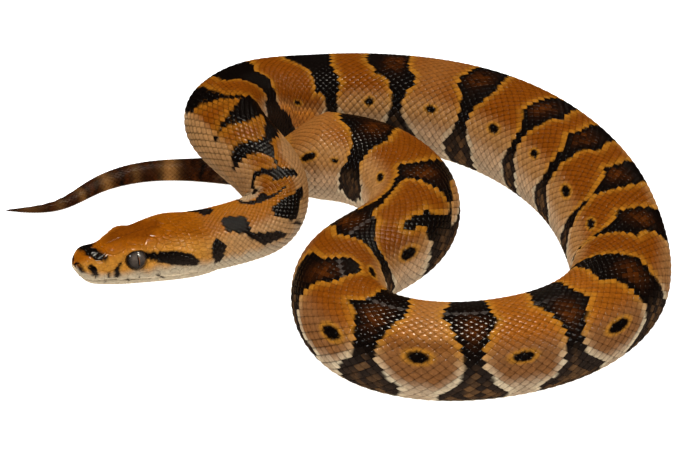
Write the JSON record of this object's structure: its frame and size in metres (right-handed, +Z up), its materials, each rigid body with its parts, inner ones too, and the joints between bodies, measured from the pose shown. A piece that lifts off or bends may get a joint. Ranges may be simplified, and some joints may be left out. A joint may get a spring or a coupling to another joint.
{
  "type": "ball python",
  "caption": "Young ball python lying in one loose coil, head and slim tail to one side, as a still life-size model that rests on its flat belly.",
  "frame": {"origin": "middle of the outline on the floor, at the level of the belly", "axes": "+Z up, +X from the head's side to the closed side of the coil, -Y to the front run of the coil"},
  "size_m": [0.1341, 0.1086, 0.0216],
  "materials": {
    "skin": "glossy scales in black, rusty brown and orange, cream below",
    "eye": "wet gloss"
  },
  "bodies": {
    "root": {"head": "skin", "jaw": "skin", "eye_left": "eye", "eye_right": "eye", "neck_front": "skin", "neck_bend": "skin", "trunk_01": "skin", "trunk_02": "skin", "trunk_03": "skin", "trunk_04": "skin", "trunk_05": "skin", "trunk_06": "skin", "trunk_07": "skin", "trunk_08": "skin", "trunk_09": "skin", "trunk_10": "skin", "trunk_11": "skin", "trunk_12": "skin", "trunk_13": "skin", "trunk_14": "skin", "trunk_15": "skin", "trunk_16": "skin", "tail_root": "skin", "tail_tip": "skin"}
  },
  "joints": []
}
